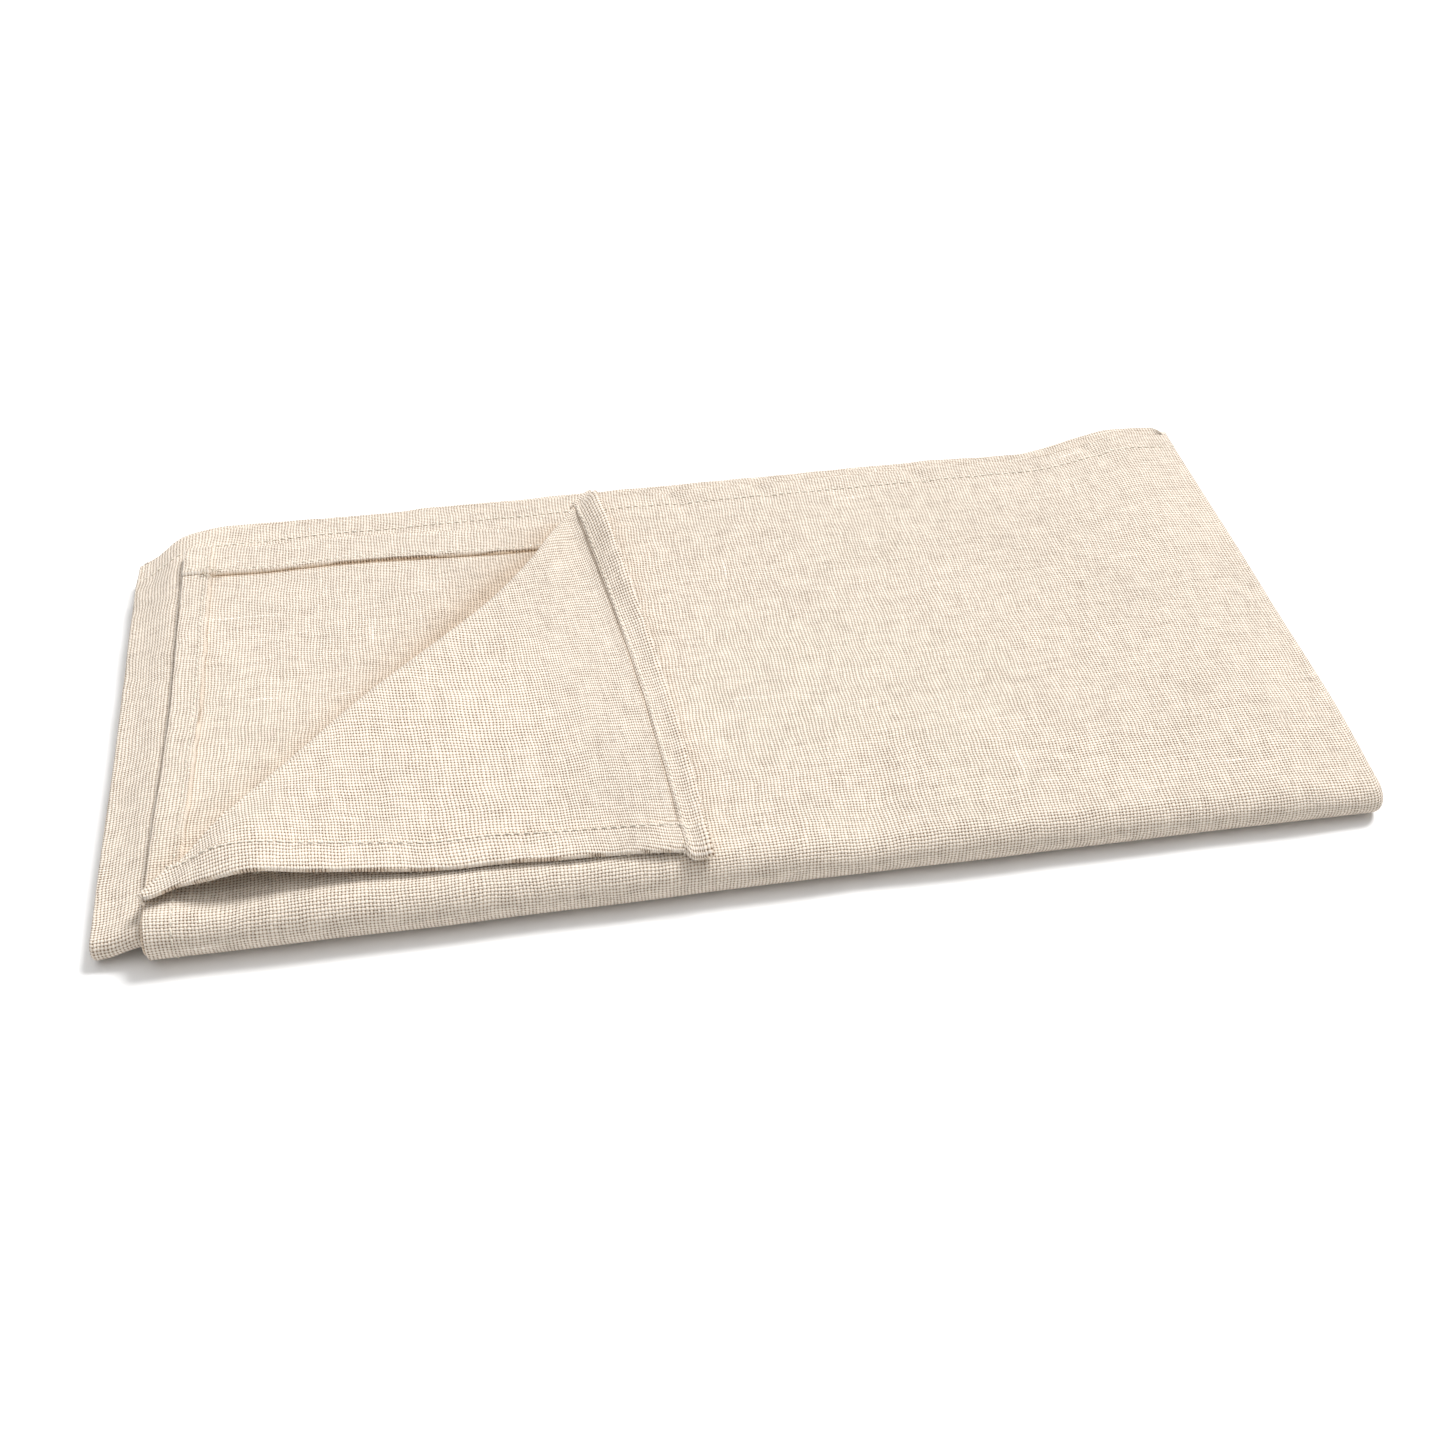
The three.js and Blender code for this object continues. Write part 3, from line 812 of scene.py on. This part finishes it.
def corner_piece():
    """Rows run from the end hem's edge to the crease. The first columns are the hem's."""
    span = crease_s(t_rows)[:, None]
    lines = hem_lines(0.0, 1, END_HEM)
    whole = 1.15 * lines[-1]
    hem_part = lines[None, :] * np.minimum(1, span / whole) * np.where(span < whole, 0.9, 1)
    rest = hem_part[:, -1:] + (span - hem_part[:, -1:]) * spaced(0, 1, 1 / 75)[None, 1:]
    s = np.concatenate([hem_part, rest], axis=1)
    v = s / span
    t = np.broadcast_to(t_rows[:, None], s.shape)
    w = CREASE_W + t * (HALF_WIDTH - CREASE_W)
    middle = corner(t, v)
    n = normals(lambda a, b: corner(b, a), v, t)
    shift = crease_uv(t, np.full(t.shape, math.pi)) - crease_uv(t, np.zeros(t.shape))
    uv = np.stack([s, w], axis=-1) + shift
    right, gap = np.full(t.shape, CLOTH / 2), painted_shade(s, w)
    return sheet_piece("turned_corner", middle, n, uv, right, wrong_side(s, w), gap, cotton)


flap = corner_piece()
print("top", len(top.data.polygons), "bend", len(bend.data.polygons), "corner", len(flap.data.polygons))

# %% [markdown]
# ## Front bend
#
# The share grows with height from the bottom of the bend to its top, so cloth on a narrow
# half-circle needs a strip of its own. Where the outer ply goes over into the inner one, the strip
# is cut into short lengths.

# %% Front bend


def strip_columns():
    """The stretches of s, each with its own values."""
    first = join_values(hem_lines(0.0, 1, END_HEM), spaced(1.15 * END_HEM, RUN[1], 1.7 * MM))
    stretches = [thin(first, 0.2 * MM)]
    strips_in_run = (6, 1, 3, 1, 3, 1)
    for k, pieces in enumerate(strips_in_run, start=1):
        cuts = np.linspace(RUN[k], RUN[k + 1], pieces + 1)
        step = 0.45 * MM if pieces > 1 else 4 * MM
        stretches += [spaced(a, b, step) for a, b in zip(cuts[:-1], cuts[1:])]
    stretches[-1] = thin(join_values(stretches[-1], hem_lines(LENGTH, -1, END_HEM)), 0.2 * MM)
    return stretches


def front_strips():
    """The strips, each with the heights of its bottom and its top border."""
    strips = []
    for number, s in enumerate(strip_columns()):
        _, height = crosswise(s)
        rows = 29 if number == 0 else 17  # the outermost strip is the widest one
        angle = np.linspace(-math.pi / 2, math.pi / 2, rows)[:, None]
        w = angle * height + skew(s)
        piece = cloth_piece(f"front_bend_{number}", s, w)
        border_z = cloth(s[None, :], w[[0, -1]])[..., 2]
        strips.append((piece, float(border_z[0].max()), float(border_z[1].min())))
    return strips


strips = front_strips()

# %% [markdown]
# ## Stitches and loose fibres
#
# Every hem is sewn down with one row of thread, which shows as a row of short stitches on both
# faces of the cloth. A stitch comes out of the cloth, lies on it and goes back in, so each one is
# a small tube along a flat arch. Coarse cotton also sheds fibres: fine hairs stand out along the
# edges, and thicker ends hang out where two hems cross. They are small tubes as well.

# %% Thin tubes


def tubes(centres, up, radii, sides):
    """Many closed tubes at once. centres has a row of ring centres for each tube. Each ring is a
    circle about its centre, across the way the tube runs."""
    way = centres[:, -1:] - centres[:, :1]
    way = way - up * (way * up).sum(axis=-1, keepdims=True)
    way = way / np.linalg.norm(way, axis=-1, keepdims=True)
    across = np.cross(up, way)
    count, rings = centres.shape[:2]
    angle = (np.arange(sides) * 2 * math.pi / sides)[:, None]
    circle = np.cos(angle) * across[:, :, None] + np.sin(angle) * up[:, :, None]
    vertices = centres[:, :, None] + radii[None, :, None, None] * circle
    first = np.arange(count * rings).reshape(count, rings, 1) * sides
    here = np.arange(sides)
    after = (here + 1) % sides
    low_ring, high_ring = first[:, :-1], first[:, 1:]
    corners = (low_ring + here, low_ring + after, high_ring + after, high_ring + here)
    quads = np.stack(corners, axis=-1).reshape(-1, 4)
    starts, ends = first[:, 0] + here[::-1], first[:, -1] + here
    return vertices.reshape(-1, 3), quads.tolist() + starts.tolist() + ends.tolist()


def tube_object(name, parts, material):
    """Joins lists of tubes into one object."""
    offset, vertices, faces = 0, [], []
    for points, polygons in parts:
        vertices += points.tolist()
        faces += [[corner + offset for corner in polygon] for polygon in polygons]
        offset += len(points)
    mesh = bpy.data.meshes.new(name)
    mesh.from_pydata(vertices, [], faces)
    mesh.shade_smooth()
    mesh.materials.append(material)
    piece = bpy.data.objects.new(name, mesh)
    bpy.context.scene.collection.objects.link(piece)
    print(name, len(faces), "faces")
    return piece


def thread_material(name, colour, roughness):
    material = bpy.data.materials.new(name)
    material.use_nodes = True
    tree = material.node_tree
    m = NodeMaths(tree)
    place = m.put("ShaderNodeTexCoord").outputs["Object"]
    ply = m.noise(place, 1800.0, 2.0)
    shader = tree.nodes["Principled BSDF"]
    dark = tuple(0.62 * value for value in colour)
    tree.links.new(ramp(tree, ply, [(0.3, dark), (0.65, colour)]), shader.inputs["Base Color"])
    shader.inputs["Roughness"].default_value = roughness
    shader.inputs["Sheen Weight"].default_value = 0.2
    return material


sewing_thread = thread_material("sewing thread", (0.93, 0.85, 0.72), 0.8)
fibre = thread_material("loose fibre", (0.92, 0.83, 0.69), 0.95)

# %% Stitches
STITCH, STITCH_GAP = 2.1 * MM, 0.7 * MM
SEAM_INSET = 2 * MM
END_SEAM = END_HEM - SEAM_INSET


def long_seam(s, side):
    return side * (HALF_WIDTH - long_hem(s) + SEAM_INSET)


def faces_of_seam(rule, a, b, wrong):
    """Points and outward directions on the cloth's two faces along a seam."""
    normal, middle = normals(rule, a, b), rule(a, b)
    return [(middle + normal * CLOTH / 2, normal), (middle - normal * wrong[:, None], -normal)]


def stitches(points, outwards):
    """Cuts a seam into stitches. A stitch's ends are sunk in the cloth and its middle is proud."""
    run = np.concatenate([[0], np.cumsum(np.linalg.norm(np.diff(points, axis=0), axis=1))])
    starts = np.arange(0.4 * MM, run[-1] - STITCH, STITCH + STITCH_GAP)
    at = starts[:, None] + STITCH * np.array([0, 0.14, 0.5, 0.86, 1])
    place = np.stack([np.interp(at, run, points[:, k]) for k in range(3)], axis=-1)
    up = np.stack([np.interp(at, run, outwards[:, k]) for k in range(3)], axis=-1)
    up = up.mean(axis=1, keepdims=True) + 0 * up
    up = up / np.linalg.norm(up, axis=-1, keepdims=True)
    rise = MM * np.array([-0.3, 0.02, 0.14, 0.02, -0.3])
    return tubes(place + up * rise[:, None], up, MM * np.array([0.14, 0.24, 0.27, 0.24, 0.14]), 5)


def on_cloth(s, w):
    s, w = (np.array(values, dtype=float) for values in np.broadcast_arrays(s, w))
    return faces_of_seam(cloth, s, w, wrong_side(s, w))


def sewn(name, seams):
    return tube_object(name, [stitches(*face) for seam in seams for face in seam], sewing_thread)


def end_seam(s, side, depth):
    """A stretch of an end hem's seam, from the front bend to the long hem's edge."""
    start = side * depth * math.pi / 2 + float(skew(s))
    return on_cloth(s, spaced(start, side * (HALF_WIDTH - 2 * MM), MM))


def round_front(s, depth):
    """The stretch of an end hem's seam that goes round the front."""
    return on_cloth(s, np.linspace(-1, 1, 25) * depth * math.pi / 2 + float(skew(s)))


def long_share(s):
    return (long_seam(s, 1) - CREASE_W) / (HALF_WIDTH - CREASE_W)


t_long, t_end = float(long_share(0.0)), END_SEAM / CREASE_S
s_long = spaced(0, LENGTH, MM)
lower_seams = [on_cloth(s_long, long_seam(s_long, -1))]
lower_seams += [end_seam(END_SEAM, -1, OUTER), end_seam(LENGTH - END_SEAM, -1, SECOND)]
lower_stitches = sewn("lower_stitches", lower_seams)
s_long = spaced(RUN[1], LENGTH, MM)
upper_seams = [on_cloth(s_long, long_seam(s_long, 1)), end_seam(LENGTH - END_SEAM, 1, SECOND)]
upper_stitches = sewn("upper_stitches", upper_seams)
w_end = spaced(OUTER * math.pi / 2 + OUTER_SKEW, float(crease_cloth(t_end)[1]), MM)
top_seams = [on_cloth(spaced(crease_s(t_long), RUN[1], MM), long_seam(0.0, 1)), on_cloth(END_SEAM, w_end)]
top_stitches = sewn("top_stitches", top_seams)
front_outer_stitches = sewn("front_outer_stitches", [round_front(END_SEAM, OUTER)])
front_second_stitches = sewn("front_second_stitches", [round_front(LENGTH - END_SEAM, SECOND)])


def corner_rule(v, t):
    return corner(t, v)


def bend_rule(a, t):
    return crease_bend(t, -a)


def corner_seam(v, t):
    v, t = (np.array(values, dtype=float) for values in np.broadcast_arrays(v, t))
    wrong = wrong_side(v * crease_s(t), crease_cloth(t)[1])
    return faces_of_seam(corner_rule, v, t, wrong)


def bend_seam(t):
    t = np.full(15, t)
    return faces_of_seam(bend_rule, np.linspace(-math.pi, 0, 15), t, wrong_side(*crease_cloth(t)))


t_rising = spaced(t_end, 1 - 0.012, 0.004)
corner_stitches = sewn(
    "corner_stitches",
    [corner_seam(spaced(0.02, 1, 0.004), t_long), corner_seam(np.clip(t_end / t_rising, 0, 1), t_rising)],
)
bend_stitches = sewn("bend_stitches", [bend_seam(t_long), bend_seam(t_end)])

# %% Loose fibres
rng = np.random.default_rng(41)


def fibres(base, outwards, length, radius, curl):
    """Curved hairs from given points. Each runs outwards and bends by curl times its length."""
    count = len(base)
    share = np.linspace(0, 1, 6)[None, :, None]
    way = outwards + rng.normal(0, 0.5, (count, 3))
    way = way / np.linalg.norm(way, axis=1, keepdims=True)
    side = np.cross(way, rng.normal(0, 1, (count, 3)))
    side = side / np.linalg.norm(side, axis=1, keepdims=True)
    length = length * rng.uniform(0.5, 1.2, (count, 1, 1))
    bent = np.sin(share * 2.4) * share * curl
    centres = base[:, None] + length * (share * way[:, None] + bent * side[:, None])
    normal = np.cross(way, side)[:, None] + 0 * centres
    return tubes(centres, normal, radius * np.array([1, 1, 0.95, 0.9, 0.8, 0.5]), 4)


def hairs_along(rule, a, b, outwards, wrong, count):
    """Short fine hairs at random places along an edge of the cloth."""
    pick = rng.integers(0, len(a), count)
    a, b = a[pick], b[pick]
    normal = normals(rule, a, b)
    base = rule(a, b) - normal * (rng.uniform(-0.4 * MM, wrong, count))[:, None]
    return fibres(base, np.array(outwards) + 0 * base, 1.1 * MM, 0.05 * MM, 0.7)


def frayed_ends(centre, spread, outwards, count):
    base = np.array(centre) + rng.normal(0, 1, (count, 3)) * np.array(spread)
    return fibres(base, np.array(outwards) + 0 * base, 3.4 * MM, 0.13 * MM, 0.9)


t_all = np.linspace(0.04, 1, 400)
edge_end = (0 * t_all, t_all)
edge_long = (np.linspace(0, 0.97, 400), 0 * t_all + 1)
t_tip = 1 - long_hem(0.0) / (HALF_WIDTH - CREASE_W)
tip_place = corner(t_tip, 0.02) + np.array([0, -0.5, 0.8]) * MM
corner_fibres = tube_object(
    "corner_fibres",
    [
        hairs_along(corner_rule, *edge_end, (0, -1, 0.2), 1.2 * MM, 190),
        hairs_along(corner_rule, *edge_long, (1, 0, 0.3), 1.2 * MM, 190),
        frayed_ends(tip_place, (2.2 * MM, 0.7 * MM, 0.4 * MM), (-0.2, -0.9, -0.25), 26),
    ],
    fibre,
)
s_second = np.linspace(LENGTH - 0.15, LENGTH, 300)
w_edge = np.full(300, HALF_WIDTH)
crossing = cloth(LENGTH - END_HEM, HALF_WIDTH - long_hem(LENGTH)) + np.array([-1, 0, 1.8]) * MM
upper_fibres = tube_object(
    "upper_fibres",
    [
        hairs_along(cloth, s_second, w_edge, (0, 1, 0.3), 1.0 * MM, 90),
        hairs_along(cloth, s_second, w_edge - long_hem(LENGTH), (0, -1, 0.6), 1.3 * MM, 90),
        frayed_ends(crossing, (1.8 * MM, 1.2 * MM, 0.2 * MM), (0.5, -0.8, 0.35), 14),
    ],
    fibre,
)
s_back = np.linspace(CREASE_S, RUN[1], 400)
top_hairs = hairs_along(cloth, s_back, np.full(400, HALF_WIDTH), (0, 1, 0.4), 1.0 * MM, 160)
top_fibres = tube_object("top_fibres", [top_hairs], fibre)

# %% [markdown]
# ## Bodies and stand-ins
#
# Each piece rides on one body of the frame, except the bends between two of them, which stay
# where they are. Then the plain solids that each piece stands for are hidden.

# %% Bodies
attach(lower, "lower_half")
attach(upper, "upper_half")
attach(top, "upper_half")
for piece, bottom, top_height in strips:
    print(piece.name, "turns between", round(bottom / MM, 1), "and", round(top_height / MM, 1), "mm")
    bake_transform(piece)
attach(flap, "turned_corner")
bend_start = float(crease_point(t_rows)[..., 2].max())
bend_end = float(crease_bend(t_rows, np.full(t_rows.shape, math.pi))[..., 2].min())
print("the crease turns between", round(bend_start / MM, 1), "and", round(bend_end / MM, 1), "mm")
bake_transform(bend)

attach(lower_stitches, "lower_half")
for piece in (upper_stitches, top_stitches, upper_fibres, top_fibres):
    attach(piece, "upper_half")
for piece in (corner_stitches, corner_fibres):
    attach(piece, "turned_corner")
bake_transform(bend_stitches)
sewn_strips = ((front_outer_stitches, strips[0]), (front_second_stitches, strips[-1]))
for piece, (_, bottom, top_height) in sewn_strips:
    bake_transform(piece)

# %% Stand-ins
# Each piece stands for the plain solids in its place.


def nodes_like(start, end=""):
    return [name for name in frame["nodes"] if name.startswith(start) and name.endswith(end)]


def cloth_nodes(start):
    return [name for name in nodes_like(start) if not name.endswith("_stitching")]


top_nodes = cloth_nodes("upper_outer_ply") + cloth_nodes("upper_outer_back") + cloth_nodes("upper_outer_end")
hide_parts(*cloth_nodes("lower"))
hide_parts(*top_nodes)
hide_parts(*[name for name in cloth_nodes("upper") if name not in top_nodes])
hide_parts("corner_ply", "corner_back_hem", "corner_end_hem")
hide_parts("corner_crease")
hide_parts(*nodes_like("lower", "_stitching"))
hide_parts(*nodes_like("upper_outer", "_stitching"))
rest = [name for name in nodes_like("upper", "_stitching") if not name.startswith("upper_outer")]
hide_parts(*rest)
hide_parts(*nodes_like("corner", "_stitching"))
# The front strips are in the order outer, bend, inner, bend, third, bend, second.
front = [piece for piece, _, _ in strips]
outer_strip, outer_bend, inner_strip, half_bend = front[0], front[1:7], front[7], front[8:11]
third_strip, nested_bend, second_strip = front[11], front[12:15], front[15]
for name, pieces in (
    ("outer_fold", [outer_strip]),
    ("outer_quarter_corner", outer_bend),
    ("inner_fold", [inner_strip]),
    ("half_length_corner", half_bend),
    ("third_fold", [third_strip]),
    ("nested_quarter_corner", nested_bend),
    ("second_fold", [second_strip]),
):
    for piece in pieces:
        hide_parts("front_" + name)


# %% [markdown]
# ## Floor, light and camera
#
# The packet lies on white paper. A soft key light comes from the right and the back, so the front
# of the packet is in shade, and a wide, weak one comes from above.

# %% Stage
world = bpy.context.scene.world or bpy.data.worlds.new("world")
bpy.context.scene.world = world
world.use_nodes = True
world.node_tree.nodes["Background"].inputs[0].default_value = (1, 1, 1, 1)
world.node_tree.nodes["Background"].inputs[1].default_value = 0.36

floor_mesh = bpy.data.meshes.new("floor")
reach = 4.0
corners = [(-reach, -reach, 0), (reach, -reach, 0), (reach, reach, 0), (-reach, reach, 0)]
floor_mesh.from_pydata(corners, [], [(0, 1, 2, 3)])
floor = bpy.data.objects.new("floor", floor_mesh)
bpy.context.scene.collection.objects.link(floor)
paper = bpy.data.materials.new("paper")
paper.use_nodes = True
paper.node_tree.nodes["Principled BSDF"].inputs["Base Color"].default_value = (0.95, 0.95, 0.95, 1)
paper.node_tree.nodes["Principled BSDF"].inputs["Roughness"].default_value = 1.0
paper.node_tree.nodes["Principled BSDF"].inputs["Specular IOR Level"].default_value = 0.0
floor_mesh.materials.append(paper)


def sun_light(name, towards, strength, softness):
    """Parallel light, softened to come from a cone of that many degrees."""
    data = bpy.data.lights.new(name, "SUN")
    data.energy = strength
    data.angle = math.radians(softness)
    lamp = bpy.data.objects.new(name, data)
    lamp.rotation_euler = Vector(towards).to_track_quat("-Z", "Y").to_euler()
    bpy.context.scene.collection.objects.link(lamp)


sun_light("key", (-0.6, -0.45, -1.0), 3.0, 20)
sun_light("overhead", (0.15, -0.1, -1), 0.9, 70)

camera_data = bpy.data.cameras.new("camera")
camera = bpy.data.objects.new("camera", camera_data)
bpy.context.scene.collection.objects.link(camera)
bpy.context.scene.camera = camera


def aim(camera, azimuth, elevation, distance, target, roll):
    """Places the camera round a target. Azimuth 0 looks along +Y."""
    az, el = math.radians(azimuth), math.radians(elevation)
    forward = Vector((math.sin(az) * math.cos(el), math.cos(az) * math.cos(el), -math.sin(el)))
    camera.location = Vector(target) - forward * distance
    turn = forward.to_track_quat("-Z", "Y") @ Matrix.Rotation(math.radians(roll), 3, "Z").to_quaternion()
    camera.rotation_mode = "QUATERNION"
    camera.rotation_quaternion = turn


aim(camera, 8.5, 42.0, 0.585, (-0.0001, -0.02525, 0), -0.71)
camera_data.lens = 44.94
camera_data.sensor_width = 36

bpy.context.scene.view_settings.view_transform = "Standard"
